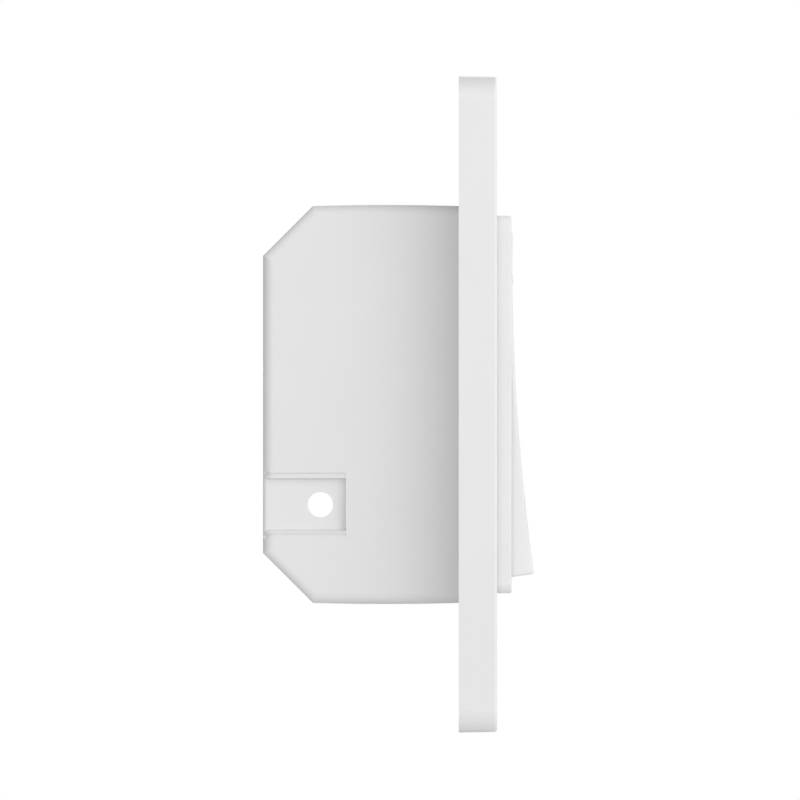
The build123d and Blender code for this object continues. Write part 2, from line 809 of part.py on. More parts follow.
def make_x_capacitor():
    """Boxed film capacitor across the mains."""
    width = x_capacitor_width
    length = x_capacitor_length
    return moulded_case(x_capacitor_x, x_capacitor_z, width, length, x_capacitor_height)


def make_varistor():
    """Disc varistor on two leads."""
    centre_y = power_board_rear + varistor_radius + lead_reach / 2
    start = Plane(origin=(varistor_x, centre_y, varistor_z - varistor_thickness / 2))
    disc = extrude(start * Circle(varistor_radius), amount=varistor_thickness)
    for side in (-1, 1):
        disc += lead(varistor_x + side * varistor_lead_pitch / 2, centre_y, varistor_z)
    return disc


def make_fuse():
    """Fusible resistor along the board's lower edge, with its bent leads."""
    centre_y = power_board_rear + fuse_radius + lead_radius
    half = fuse_length / 2
    body = cross_rod(fuse_x - half, fuse_x + half, centre_y, fuse_z, fuse_radius)
    for side in (-1, 1):
        bend = fuse_x + side * (half + lead_reach)
        body += block(
            fuse_x + side * (half - lead_radius),
            bend,
            centre_y - lead_radius,
            centre_y + lead_radius,
            fuse_z - lead_radius,
            fuse_z + lead_radius,
        )
        body += lead(bend, centre_y + lead_radius, fuse_z)
    return body


# Terminals


def make_terminal_block():
    """Four-pole block: wire holes below the chamfer window, fins between the poles, cages in bays."""
    half = block_half_width
    body = block(-half, half, power_board_rear, block_rear, block_bottom, block_top)
    fin_front = window_front_y + part_clearance
    fin_rear = window_rear_y - part_clearance
    fin_top = housing_height / 2 - fin_inset
    fin_sum = chamfer_sum - fin_inset
    fin = [
        (fin_front, block_top - block_wall / 2),
        (fin_rear, block_top - block_wall / 2),
        (fin_rear, fin_sum - fin_rear),
        (fin_sum - fin_top, fin_top),
        (fin_front, fin_top),
    ]
    for index in range(pole_count + 1):
        x = (index - pole_count / 2) * pole_pitch
        body += side_prism(fin, x - block_wall / 2, x + block_wall / 2)
    screen_top = inner_half_height - part_clearance
    body += block(-half, half, fin_front - block_wall, fin_front, block_top - block_wall / 2, screen_top)
    bay_half = clamp_width / 2 + part_clearance
    bay_top = clamp_z + clamp_height / 2 + part_clearance
    tail_half = clamp_tail_width / 2 + screw_clearance
    for x in pole_centres:
        body -= Pos(x, wire_y, 0) * Cylinder(wire_hole_radius, 2 * housing_height)
        body -= block(
            x - bay_half,
            x + bay_half,
            clamp_front - part_clearance,
            clamp_rear + part_clearance,
            block_bottom - cut,
            bay_top,
        )
        body -= rod(x, clamp_z, block_rear + cut, clamp_rear, terminal_head_radius + screw_clearance)
        body -= block(
            x - tail_half,
            x + tail_half,
            power_board_rear - cut,
            clamp_front,
            block_bottom - cut,
            clamp_z + clamp_tail_thickness,
        )
    return body


def make_terminal_clamps():
    """Four brass cages with a threaded rear wall and a solder tail into the power board."""
    cages = Part()
    half = clamp_width / 2
    low_z = clamp_z - clamp_height / 2
    high_z = clamp_z + clamp_height / 2
    half_tail = clamp_tail_width / 2
    half_thick = clamp_tail_thickness / 2
    for x in pole_centres:
        cage = block(x - half, x + half, clamp_front, clamp_rear, low_z, high_z)
        inner = half - clamp_wall
        inner_front = clamp_front + clamp_wall
        cage -= block(x - inner, x + inner, inner_front, screw_tip_y, low_z - cut, high_z + cut)
        cage -= rod(x, clamp_z, clamp_rear + cut, screw_tip_y - cut, terminal_screw_radius + thread_clearance)
        cages += cage + block(
            x - half_tail,
            x + half_tail,
            power_board_y - half_thick,
            clamp_front,
            clamp_z - half_thick,
            clamp_z + half_thick,
        )
    return cages


def make_terminal_screws():
    """Four clamp screws whose slotted heads sit behind the housing's driver holes."""
    screws = Part()
    head_front = clamp_rear + terminal_head_gap
    head_rear = head_front + terminal_head_height
    slot_floor = head_rear - terminal_head_height / 2
    reach = terminal_head_radius + cut
    for x in pole_centres:
        screw = rod(x, clamp_z, head_rear, head_front, terminal_head_radius)
        screw += rod(x, clamp_z, head_front, screw_tip_y, terminal_screw_radius)
        screws += screw - drive_slot(x, clamp_z, slot_floor, head_rear + cut, reach)
    return screws


def make_ground_strip():
    """Bent strip from the strap's rear face to the power board's ground pad."""
    thickness = ground_strip_thickness
    leg_z = power_board_height / 2 + ground_board_gap
    pad_z = leg_z - ground_pad_length
    outline = [
        (0, ground_foot_top),
        (0, leg_z),
        (power_board_y - thickness, leg_z),
        (power_board_y - thickness, pad_z),
        (power_board_y, pad_z),
        (power_board_y, leg_z + thickness),
        (thickness, leg_z + thickness),
        (thickness, ground_foot_top),
    ]
    centre_x = pole_centres[-1]
    return side_prism(outline, centre_x - ground_strip_width / 2, centre_x + ground_strip_width / 2)


# Rear housing


def housing_form(inset, front_y):
    """The housing's outer form, inset evenly: crowned side view crossed with the tapered plan view."""
    top = housing_height / 2 - inset
    rear = housing_depth - inset
    leg = housing_chamfer - inset * (2 - sqrt(2))
    crown = top + housing_crown
    edges = [
        ThreePointArc((front_y, top), (housing_crown_y, crown), (rear - leg, top)),
        Polyline((rear - leg, top), (rear, top - leg), (rear, leg - top), (rear - leg, -top)),
        ThreePointArc((rear - leg, -top), (housing_crown_y, -crown), (front_y, -top)),
        Line((front_y, -top), (front_y, top)),
    ]
    side_view = extrude(make_face(Plane.YZ * Curve(edges)), amount=housing_width, both=True)
    front_half = housing_width / 2 - inset
    rear_half = housing_rear_width / 2 - inset
    plan = [(-front_half, front_y), (front_half, front_y), (rear_half, rear), (-rear_half, rear)]
    return side_view & extrude(make_face(Polyline(*plan, close=True)), amount=housing_height, both=True)


def rounded_form(inset):
    """The housing's outer form, inset evenly, with its rear edges rounded."""
    form = housing_form(inset, 0)
    rear_edges = form.edges().filter_by(lambda edge: edge.center().Y > cut / 10)
    side_edges = rear_edges.filter_by(lambda edge: abs(edge.center().X) > cut)
    return fillet(side_edges, housing_edge_radius - inset)


def pocket_section(y, half):
    """Cross-section of the +X pocket at one depth, wider towards the housing's side, reaching past both ends."""
    slope = tan(radians(pocket_wall_slope_deg))
    middle_x = housing_width / 2
    reach = 2 * pocket_depth_front
    inner = half - reach * slope
    outer = half + reach * slope
    return make_face(
        Polyline(
            (middle_x - reach, y, tube_z - inner),
            (middle_x + reach, y, tube_z - outer),
            (middle_x + reach, y, tube_z + outer),
            (middle_x - reach, y, tube_z + inner),
            close=True,
        )
    )


def pocket_cutter():
    """Pocket on the +X side: sloped walls that part at the rear mouth, floor rising to a rounded edge."""
    half = pocket_height / 2
    trough = loft([pocket_section(pocket_front_y, half), pocket_section(mouth_front_y, half)], ruled=True)
    mouth = [pocket_section(mouth_front_y, half), pocket_section(mouth_rear_y, half + mouth_flare)]
    trough += loft(mouth, ruled=True)
    face_x = pocket_floor_rear_x - 2 * pocket_floor_radius
    corner = (pocket_floor_rear_x, housing_depth)
    plan = make_face(
        Polyline(
            (housing_width / 2 - pocket_depth_front, pocket_front_y),
            corner,
            (face_x, housing_depth),
            (face_x, mouth_rear_y),
            (housing_width, mouth_rear_y),
            (housing_width, pocket_front_y),
            close=True,
        )
    )
    plan = fillet(plan.vertices().sort_by_distance((*corner, 0))[0], pocket_floor_radius)
    return trough & Pos(0, 0, tube_z) * extrude(plan, amount=pocket_height, both=True)


def rim_grooves():
    """Shallow grooves beside both long rims of the +X pocket, which leave a thin lip round its edge."""
    inner = pocket_height / 2 + rim_lip
    outer = inner + rim_groove_width
    side_view = [
        (pocket_front_y, inner),
        (mouth_front_y, inner),
        (mouth_rear_y, inner + mouth_flare),
        (mouth_rear_y, outer + mouth_flare),
        (mouth_front_y, outer),
        (pocket_front_y, outer),
    ]
    upper = side_prism(side_view, pocket_floor_rear_x, housing_width)
    grooves = Pos(0, 0, tube_z) * (upper + mirror(upper, about=Plane.XY))
    return grooves - rounded_form(rim_groove_depth)


def housing_insides():
    """Corner bosses, board ledges, the pockets' inner walls and the tube that joins them."""
    insides = Part()
    for side_x, side_z in corners:
        insides += block(
            side_x * boss_inner_x,
            side_x * (housing_width - housing_wall) / 2,
            0,
            boss_length,
            side_z * boss_inner_z,
            side_z * (housing_height - housing_wall) / 2,
        )
    front_ledge_x = (control_board_width - ledge_width) / 2
    rear_ledge_x = (power_board_width - ledge_width) / 2
    pocket_x = housing_width / 2 - pocket_depth_front - pocket_wall
    pocket_half = pocket_height / 2 + pocket_wall
    half_ledge = ledge_height / 2
    for side in (-1, 1):
        wall_x = side * (housing_width - housing_wall) / 2
        for z, rear in ((upper_ledge_z, inner_rear), (tube_z, power_board_rear)):
            ledge_rear = rear + housing_wall / 2
            insides += block(
                side * front_ledge_x, wall_x, control_board_rear, ledge_rear, z - half_ledge, z + half_ledge
            )
        insides += block(
            side * rear_ledge_x,
            wall_x,
            power_board_rear,
            inner_rear + housing_wall / 2,
            upper_ledge_z - half_ledge,
            upper_ledge_z + half_ledge,
        )
        insides += block(
            side * pocket_x,
            wall_x,
            power_board_rear,
            inner_rear + housing_wall / 2,
            tube_z - pocket_half,
            tube_z + pocket_half,
        )
    tube_end = pocket_x + pocket_wall / 2
    return insides + cross_rod(-tube_end, tube_end, tube_y, tube_z, tube_radius)


def make_rear_housing():
    """Moulded cup with bosses, ledges, side pockets joined by a tube, and the terminals' openings."""
    outer = rounded_form(0)
    housing = (outer - housing_form(housing_wall, -cut)) + (housing_insides() & outer)
    for cutter in (pocket_cutter(), rim_grooves()):
        housing -= cutter
        housing -= mirror(cutter, about=Plane.YZ)
    housing -= cross_rod(-housing_width, housing_width, tube_y, tube_z, tube_bore_radius)
    pilot_radius = frame_screw_radius + thread_clearance
    pilot_floor = boss_length - boss_floor
    for side_x, side_z in corners:
        housing -= rod(side_x * frame_screw_x, side_z * frame_screw_z, pilot_floor, -cut, pilot_radius)
    window_half = block_half_width + part_clearance
    housing -= block(-window_half, window_half, window_front_y, window_rear_y, block_top, housing_height)
    driver_radius = terminal_head_radius + screw_clearance
    for x in pole_centres:
        housing -= rod(x, clamp_z, housing_depth + cut, inner_rear - cut, driver_radius)
    return housing


makers = {
    "wall_plate": make_wall_plate,
    "plate_subframe": make_plate_subframe,
    "plate_screws": make_plate_screws,
    "mounting_strap": make_mounting_strap,
    "front_frame": make_front_frame,
    "frame_screws": make_frame_screws,
    "paddle": make_paddle,
    "indicator_lens": make_indicator_lens,
    "light_guide": make_light_guide,
    "paddle_spring": make_paddle_spring,
    "insulator_sheet": make_insulator_sheet,
    "tact_switch_body": make_tact_switch_body,
    "tact_switch_button": make_tact_switch_button,
    "indicator_led": make_indicator_led,
    "control_board": make_control_board,
    "wifi_module": make_wifi_module,
    "wifi_shield_can": make_wifi_shield_can,
    "header_socket": make_header_socket,
    "header_pins": make_header_pins,
    "power_board": make_power_board,
    "relay": make_relay,
    "transformer_core": make_transformer_core,
    "transformer_bobbin": make_transformer_bobbin,
    "bulk_capacitors": make_bulk_capacitors,
    "output_capacitor": make_output_capacitor,
    "x_capacitor": make_x_capacitor,
    "varistor": make_varistor,
    "fuse": make_fuse,
    "terminal_block": make_terminal_block,
    "terminal_clamps": make_terminal_clamps,
    "terminal_screws": make_terminal_screws,
    "ground_strip": make_ground_strip,
    "rear_housing": make_rear_housing,
}

os.makedirs("parts", exist_ok=True)
for name, make in makers.items():
    export_step(make(), f"parts/{name}.step")
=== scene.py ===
import math

import bmesh
import bpy
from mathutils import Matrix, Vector


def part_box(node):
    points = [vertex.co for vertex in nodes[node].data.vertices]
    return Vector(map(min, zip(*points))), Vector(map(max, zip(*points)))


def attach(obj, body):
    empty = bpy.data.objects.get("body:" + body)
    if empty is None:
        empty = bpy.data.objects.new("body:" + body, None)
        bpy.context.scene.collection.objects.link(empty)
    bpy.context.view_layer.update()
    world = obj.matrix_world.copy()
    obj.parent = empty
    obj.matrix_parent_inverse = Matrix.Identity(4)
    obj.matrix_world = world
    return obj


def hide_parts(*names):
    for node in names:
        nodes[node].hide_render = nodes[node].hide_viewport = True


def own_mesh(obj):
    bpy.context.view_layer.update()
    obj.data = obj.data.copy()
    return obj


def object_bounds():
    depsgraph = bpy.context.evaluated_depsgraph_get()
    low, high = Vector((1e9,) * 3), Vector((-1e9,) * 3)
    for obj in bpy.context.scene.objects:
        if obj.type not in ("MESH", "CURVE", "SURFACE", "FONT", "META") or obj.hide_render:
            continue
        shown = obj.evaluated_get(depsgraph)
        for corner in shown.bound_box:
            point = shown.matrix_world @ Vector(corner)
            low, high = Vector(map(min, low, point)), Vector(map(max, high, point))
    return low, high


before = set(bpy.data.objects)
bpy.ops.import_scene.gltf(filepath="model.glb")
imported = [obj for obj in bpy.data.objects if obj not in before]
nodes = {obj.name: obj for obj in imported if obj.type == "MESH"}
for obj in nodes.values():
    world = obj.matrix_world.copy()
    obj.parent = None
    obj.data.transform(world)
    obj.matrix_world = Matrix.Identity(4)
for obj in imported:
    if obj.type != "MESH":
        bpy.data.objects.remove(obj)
cad_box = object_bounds()

# Sizes and places are in metres, and those of the finishes' patterns in millimetres. +Z is up, the room
# is on the -Y side, and the wall's surface is at Y = 0
mm = 0.001

# The photograph looks along +X at right angles to the object's side, without perspective
frame_pixels = 800
pixels_per_mm = 5.740
camera_y = 10.23 * mm
camera_z = 0.78 * mm
camera_distance = 0.6
clip_near = 0.01
clip_far = 10.0

# Soft studio light: a faint surround, and large soft boxes that stand mirrored on both sides; each is
# given by the direction that its light comes from and its brightness in the middle
surround = 0.14
soft_boxes = (
    ((1, -1, 0), 1.70),
    ((1, -1, 1), 0.25),
    ((1, 0, 0), 0.92),
    ((1, 0, 1), 0.34),
)
box_sharpness = 5.0
backdrop_brightness = 1.0

# Towards +X the boxes' light fades from its full strength to this share, reached where a direction
# leans this far towards +X
far_side_share = 0.7
far_side_lean = 0.7

# A pale light table, so that the object throws no dark shadow where it stands
floor_size = 1.5
floor_tone = 0.42
floor_glow = 0.33
floor_mottle = 30.0

# Sockets of the Mix node that take its two colours and give the mixed one
mix_first = 6
mix_second = 7
mix_result = 2

# Terminal screws: turning marks on their heads, whose places the frame gives
ring_spacing = 0.22
ring_depth = 0.012
screws_low, screws_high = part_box("terminal_screws")
ring_height = (screws_low.z + screws_high.z) / 2 / mm
screw_count = 4
head_width = (screws_high.z - screws_low.z) / mm
screw_pitch = ((screws_high.x - screws_low.x) / mm - head_width) / (screw_count - 1)

# Roundings between the housing's sides and chamfers: how many times narrower they look
chamfer_tightness = 2.4

# Return spring under the paddle, a leaf of bent strip whose side view runs along the foot, round the
# bend and up to the pad
leaf_width = 5.0 * mm
leaf_tip_width = 3.6 * mm
leaf_sheet = 0.3 * mm
leaf_bend_radius = 0.8 * mm
leaf_foot_length = 7.0 * mm
leaf_tip_length = 2.0 * mm
leaf_tip_drop = 1.2 * mm
leaf_hole = 2.0 * mm
leaf_edge_radius = 0.05 * mm
leaf_spacing = 0.5 * mm

# The leaf narrows from this share of its length on
leaf_taper_start = 0.5


def add_object(name, data):
    made = bpy.data.objects.new(name, data)
    bpy.context.scene.collection.objects.link(made)
    return made


def grey(level):
    return (level, level, level)


def with_alpha(colour):
    """A plain colour as colour sockets take it, with its alpha; a node's output stays as it is."""
    return (*colour, 1) if isinstance(colour, tuple) else colour


def shade(colour, amount):
    """The colour made lighter or darker, up to full brightness."""
    return tuple(min(1.0, part * amount) for part in colour)


def make_camera():
    """A camera without perspective that frames the object as the photograph does."""
    data = bpy.data.cameras.new("photo_camera")
    data.type = "ORTHO"
    data.ortho_scale = frame_pixels / pixels_per_mm * mm
    data.clip_start = clip_near
    data.clip_end = clip_far
    camera = add_object("photo_camera", data)
    camera.location = (-camera_distance, camera_y, camera_z)
    camera.rotation_euler = (math.radians(90), 0, math.radians(-90))
    bpy.context.scene.camera = camera


class Tree:
    """Adds nodes to a node tree; a node's inputs are given as values or as other nodes' outputs."""

    def __init__(self, tree):
        self.tree = tree

    def add(self, kind, inputs=None, **settings):
        made = self.tree.nodes.new("ShaderNode" + kind)
        for name, value in settings.items():
            setattr(made, name, value)
        for key, value in (inputs or {}).items():
            self.feed(made.inputs[key], value)
        return made

    def feed(self, socket, value):
        if isinstance(value, bpy.types.NodeSocket):
            self.tree.links.new(value, socket)
        else:
            socket.default_value = value

    def sum(self, *values):
        total = values[0]
        for value in values[1:]:
            total = self.add("Math", {0: total, 1: value}, operation="ADD").outputs[0]
        return total

    def times(self, a, b):
        return self.add("Math", {0: a, 1: b}, operation="MULTIPLY").outputs[0]

    def dot(self, a, b):
        return self.add("VectorMath", {0: a, 1: b}, operation="DOT_PRODUCT").outputs["Value"]

    def product(self, a, b):
        return self.add("VectorMath", {0: a, 1: b}, operation="MULTIPLY").outputs["Vector"]

    def unit(self, way):
        return self.add("VectorMath", {0: way}, operation="NORMALIZE").outputs["Vector"]

    def ramp(self, value, low, high, start=0.3, end=0.7):
        """Runs from low to high while the value runs from start to end, and stays level outside."""
        inputs = {"Value": value, "From Min": start, "From Max": end, "To Min": low, "To Max": high}
        return self.add("MapRange", inputs).outputs["Result"]


def make_world():
    """A pale backdrop for the camera, and soft light from all round for everything else."""
    world = bpy.data.worlds.new("studio")
    world.use_nodes = True
    world.node_tree.nodes.clear()
    bpy.context.scene.world = world
    tree = Tree(world.node_tree)
    way = tree.add("SeparateXYZ", {0: tree.add("TexCoord").outputs["Generated"]}).outputs
    sideways = tree.add("Math", {0: way[0]}, operation="ABSOLUTE").outputs[0]
    mirrored = tree.add("CombineXYZ", {0: sideways, 1: way[1], 2: way[2]}).outputs[0]
    boxes = 0.0
    # Each box is brightest in its own direction, and its light falls off smoothly all round
    for direction, brightness in soft_boxes:
        nearness = tree.dot(mirrored, Vector(direction).normalized())
        fall_off = tree.times(tree.sum(nearness, -1.0), box_sharpness)
        glow = tree.add("Math", {0: fall_off}, operation="EXPONENT").outputs[0]
        boxes = tree.sum(boxes, tree.times(glow, brightness))
    side = tree.ramp(way[0], 1.0, far_side_share, start=0.0, end=far_side_lean)
    level = tree.sum(tree.times(boxes, side), surround)
    white = (1, 1, 1, 1)
    light = tree.add("Background", {"Color": white, "Strength": level}).outputs[0]
    backdrop = tree.add("Background", {"Color": white, "Strength": backdrop_brightness}).outputs[0]
    seen = tree.add("LightPath").outputs["Is Camera Ray"]
    mixed = tree.add("MixShader", {0: seen, 1: light, 2: backdrop}).outputs[0]
    tree.add("OutputWorld", {"Surface": mixed})


class Finish(Tree):
    """A material whose patterns are sized in millimetres and fixed to the object."""

    def __init__(self, name, metallic=0.0):
        self.material = bpy.data.materials.new(name)
        self.material.use_nodes = True
        super().__init__(self.material.node_tree)
        self.shader = self.tree.nodes["Principled BSDF"]
        self.shader.inputs["Metallic"].default_value = metallic
        place = self.add("TexCoord").outputs["Object"]
        self.position = self.add("VectorMath", {0: place, "Scale": 1 / mm}, operation="SCALE").outputs[0]
        self.normal = None

    def noise(self, size, detail=2.0, stretch=(1, 1, 1)):
        """A soft pattern from 0 to 1 in patches of about the given size, stretched along X, Y and Z."""
        shrink = [1 / (size * way) for way in stretch]
        where = self.product(self.position, shrink)
        return self.add("TexNoise", {"Vector": where, "Scale": 1.0, "Detail": detail}).outputs["Fac"]

    def cells(self, size, distance="EUCLIDEAN"):
        """Irregular cells of about the given size: how far from the middle, and each cell's tone."""
        inputs = {"Vector": self.position, "Scale": 1 / size}
        outputs = self.add("TexVoronoi", inputs, distance=distance).outputs
        own_tone = self.add("SeparateColor", {0: outputs["Color"]}).outputs[0]
        return outputs["Distance"], own_tone

    def rings(self, pitch):
        """Turning marks round heads in a row along X, a pitch apart and mirrored about X = 0."""
        place = self.add("SeparateXYZ", {0: self.position}).outputs
        along = self.add("Math", {0: place[0], 1: pitch, 2: 0.0}, operation="WRAP").outputs[0]
        from_head = self.sum(along, -pitch / 2)
        height = self.sum(place[2], -ring_height)
        span = self.add("CombineXYZ", {0: from_head, 2: height}).outputs[0]
        radius = self.add("VectorMath", {0: span}, operation="LENGTH").outputs["Value"]
        turns = self.times(radius, 2 * math.pi / ring_spacing)
        return self.add("Math", {0: turns}, operation="SINE").outputs[0]

    def mix(self, factor, first, second):
        """The first colour where the factor is 0, the second where it is 1."""
        inputs = {0: factor, mix_first: with_alpha(first), mix_second: with_alpha(second)}
        return self.add("Mix", inputs, data_type="RGBA").outputs[mix_result]

    def mottled(self, pattern, colour, dark, light):
        """The colour, from its darker to its lighter shade as the pattern rises."""
        return self.mix(self.ramp(pattern, 0, 1), shade(colour, dark), shade(colour, light))

    def edges(self, radius):
        """1 along edges and in corners, fading to 0 within the given radius."""
        turned_away = 0.75
        flat = 0.995
        rounded = self.add("Bevel", {"Radius": radius * mm}, samples=4).outputs[0]
        true = self.add("NewGeometry").outputs["Normal"]
        return self.ramp(self.dot(rounded, true), 1.0, 0.0, start=turned_away, end=flat)

    def crevice_shade(self, reach):
        """1 deep in slots and corners that are narrower than the reach, and 0 on open surfaces: where
        shade falls, used for painted shade.
        """
        closed_in = 0.35
        open_air = 0.9
        shaded = self.add("AmbientOcclusion", {"Distance": reach * mm}, samples=8, only_local=True)
        return self.ramp(shaded.outputs["AO"], 1.0, 0.0, start=closed_in, end=open_air)

    def soften(self, radius):
        """Makes light run round the edges as if they were rounded by the given radius."""
        self.normal = self.add("Bevel", {"Radius": radius * mm}, samples=4).outputs[0]

    def tighten(self, amount):
        """Shades the roundings between the sides and the 45-degree faces as if they were narrower.

        Where the surface leans like a chamfer, its normal is stretched along X by the given amount.
        """
        off_chamfer = 0.85
        along_chamfer = 0.98
        facing = self.add("NewGeometry").outputs["Normal"]
        lean = self.unit(self.product(facing, (0, 1, 1)))
        rising = self.add("VectorMath", {0: lean}, operation="ABSOLUTE").outputs["Vector"]
        on_chamfer = self.dot(rising, Vector((0, 1, 1)).normalized())
        sideways = self.ramp(on_chamfer, 1.0, amount, start=off_chamfer, end=along_chamfer)
        stretch = self.add("CombineXYZ", {0: sideways, 1: 1.0, 2: 1.0}).outputs["Vector"]
        self.normal = self.unit(self.product(facing, stretch))

    def bump(self, height, depth):
        """Adds relief to the surface, with the given depth between the heights 0 and 1."""
        inputs = {"Height": height, "Distance": depth * mm, "Strength": 1.0}
        if self.normal:
            inputs["Normal"] = self.normal
        self.normal = self.add("Bump", inputs).outputs["Normal"]

    def glow(self, colour, strength):
        self.shader.inputs["Emission Color"].default_value = with_alpha(colour)
        self.shader.inputs["Emission Strength"].default_value = strength

    def done(self, colour, roughness):
        """Gives the shader its colour, roughness and relief, and returns the material."""
        self.feed(self.shader.inputs["Base Color"], with_alpha(colour))
        self.feed(self.shader.inputs["Roughness"], roughness)
        if self.normal:
            self.feed(self.shader.inputs["Normal"], self.normal)
        return self.material


def moulded(
    name, colour, roughness, grain=0.12, depth=0.002, cloud=0.012, wear=0.03, flow=16.0, tight=None
):
    """Injection-moulded plastic: faint flow clouds, a fine tool texture and slightly polished edges."""
    edge_width = 0.35
    patch_size = 2.5
    polish = 0.08
    made = Finish(name)
    clouds = made.noise(flow, detail=3.0)
    tone = made.mottled(clouds, colour, 1 - cloud, 1 + cloud / 2)
    patches = made.ramp(made.noise(patch_size, detail=3.0), 0.2, 1.0)
    worn = made.times(made.edges(edge_width), patches)
    tone = made.mix(made.times(worn, wear * 10), tone, shade(colour, 1 + wear))
    fine = made.noise(grain, detail=4.0)
    if tight:
        made.tighten(tight)
    made.bump(fine, depth)
    handled = made.ramp(made.noise(flow / 2), -0.03, 0.03)
    speckle = made.ramp(fine, -0.02, 0.02)
    polished = made.times(worn, -polish)
    return made.done(tone, made.sum(roughness, handled, speckle, polished))


def plated(name, colour, roughness, stretch=(1, 1, 30), spangle=2.2, depth=0.002, turned=None):
    """Plated metal: rolling streaks or turned rings, crystals, scratches, and painted shade in crevices.
    """
    streak_width = 0.16
    cloud_size = 9.0
    scratch_width = 0.25
    edge_width = 0.25
    slot_width = 0.8
    softness = 0.1
    made = Finish(name, metallic=1.0)
    streaks = made.noise(streak_width, detail=3.0, stretch=stretch)
    _, crystals = made.cells(spangle)
    clouds = made.noise(cloud_size, detail=3.0)
    tone = made.mottled(streaks, colour, 0.86, 1.08)
    tone = made.mix(made.ramp(crystals, 0.0, 0.35, start=0, end=1), tone, shade(colour, 0.8))
    tone = made.mix(made.ramp(clouds, 0, 0.3), tone, shade(colour, 1.1))
    scratches = made.ramp(made.noise(scratch_width, stretch=stretch), 0, 1, start=0.64, end=0.68)
    tone = made.mix(made.times(scratches, 0.35), tone, shade(colour, 0.62))
    worn = made.edges(edge_width)
    tone = made.mix(made.times(worn, 0.6), tone, shade(colour, 1.2))
    # Painted shade: slots and corners narrower than the slot width are darkened as if their walls shaded
    # them
    dark = made.times(made.crevice_shade(slot_width), 0.75)
    tone = made.mix(dark, tone, shade(colour, 0.3))
    made.soften(softness)
    made.bump(streaks, depth)
    if turned:
        made.bump(made.rings(turned), ring_depth)
    dulled = made.ramp(crystals, -0.06, 0.06, start=0, end=1)
    streaked = made.ramp(streaks, -0.06, 0.06)
    scratched = made.times(scratches, 0.12)
    return made.done(tone, made.sum(roughness, dulled, streaked, scratched))


def circuit_board(name, mask, copper):
    """Solder mask over copper tracks, with tinned pads."""
    track_field = 3.4
    tracks_per_field = 5.0
    pad_spacing = 1.9
    tin = (0.62, 0.62, 0.6)
    made = Finish(name)
    fields, _ = made.cells(track_field, distance="CHEBYCHEV")
    bands = made.add("Math", {0: made.times(fields, tracks_per_field)}, operation="FRACT").outputs[0]
    on_track = made.ramp(bands, 0, 1, start=0.62, end=0.68)
    from_pad, _ = made.cells(pad_spacing)
    pads = made.ramp(from_pad, 1, 0, start=0.12, end=0.15)
    tone = made.mottled(made.noise(size=7.0, detail=3.0), mask, 0.9, 1.1)
    tone = made.mix(on_track, tone, copper)
    tone = made.mix(pads, tone, tin)
    made.bump(made.sum(on_track, pads), 0.02)
    fibres = made.noise(size=0.35, stretch=(6, 1, 1))
    made.bump(fibres, 0.003)
    woven = made.ramp(fibres, -0.03, 0.04)
    soldered = made.times(pads, 0.1)
    return made.done(tone, made.sum(0.34, woven, soldered))


def sintered(name, colour):
    """Ferrite: dark ceramic with a sandy pressed surface and lighter chipped edges."""
    made = Finish(name)
    sand = made.noise(size=0.15, detail=5.0)
    tone = made.mottled(sand, colour, 0.8, 1.3)
    patches = made.ramp(made.noise(size=0.8, detail=3.0), 0, 1, start=0.5, end=0.6)
    chips = made.times(made.edges(radius=0.3), patches)
    tone = made.mix(chips, tone, shade(colour, 2.0))
    made.bump(sand, 0.02)
    return made.done(tone, made.ramp(sand, 0.55, 0.75))


def wound_tape(name, colour):
    """Layers of polyester tape over a winding: fine ridges round the coil and a soft gloss."""
    made = Finish(name)
    layers = made.noise(size=0.5, stretch=(1, 12, 12))
    tone = made.mottled(layers, colour, 0.85, 1.1)
    tone = made.mix(made.ramp(made.noise(size=4.0), 0, 0.3), tone, shade(colour, 0.7))
    made.bump(layers, 0.03)
    return made.done(tone, made.ramp(layers, 0.28, 0.42))


def dipped(name, colour):
    """Epoxy dip: thick glossy coat with a slight orange-peel surface."""
    made = Finish(name)
    peel = made.noise(size=0.9, detail=3.0)
    tone = made.mottled(peel, colour, 0.88, 1.12)
    made.bump(peel, 0.05)
    return made.done(tone, made.ramp(made.noise(size=0.3), 0.25, 0.38))


def lit_lens(name, colour, glow_colour, glow):
    """A small clear lens over a lit diode: pale, smooth, faintly mottled, and shining a little."""
    made = Finish(name)
    mottle = made.noise(size=0.5, detail=3.0)
    tone = made.mottled(mottle, colour, 0.97, 1.0)
    made.bump(made.noise(size=0.25), 0.002)
    made.glow(glow_colour, glow)
    return made.done(tone, made.ramp(mottle, 0.12, 0.2))


def fibre_sheet(name, colour):
    """Pressed insulating board: short random fibres and a matt surface."""
    made = Finish(name)
    fibres = made.noise(size=0.18, detail=4.0, stretch=(5, 1, 1))
    tone = made.mottled(fibres, colour, 0.75, 1.35)
    made.bump(fibres, 0.02)
    return made.done(tone, made.ramp(fibres, 0.6, 0.8))


def make_floor():
    """The pale table that the object stands on, level with its lowest point."""
    z = cad_box[0].z
    size = floor_size
    corners = [(-size, -size, z), (size, -size, z), (size, size, z), (-size, size, z)]
    mesh = bpy.data.meshes.new("floor")
    mesh.from_pydata(corners, [], [(0, 1, 2, 3)])
    made = Finish("floor_paint")
    made.glow(grey(1.0), floor_glow)
    roughness = made.ramp(made.noise(floor_mottle), 0.88, 0.92)
    mesh.materials.append(made.done(grey(floor_tone), roughness))
    add_object("floor", mesh)


def rounded_path(corners, radius, steps=8):
    """The corners' line with each inner corner replaced by an arc."""
    points = [corners[0]]
    for before, corner, after in zip(corners, corners[1:], corners[2:]):
        back = (before - corner).normalized()
        ahead = (after - corner).normalized()
        half_angle = back.angle(ahead) / 2
        middle = corner + (back + ahead).normalized() * radius / math.sin(half_angle)
        start = corner + back * radius / math.tan(half_angle)
        end = corner + ahead * radius / math.tan(half_angle)
        first = (start - middle).normalized()
        last = (end - middle).normalized()
        for step in range(steps + 1):
            points.append(middle + first.slerp(last, step / steps) * radius)
    points.append(corners[-1])
    return points


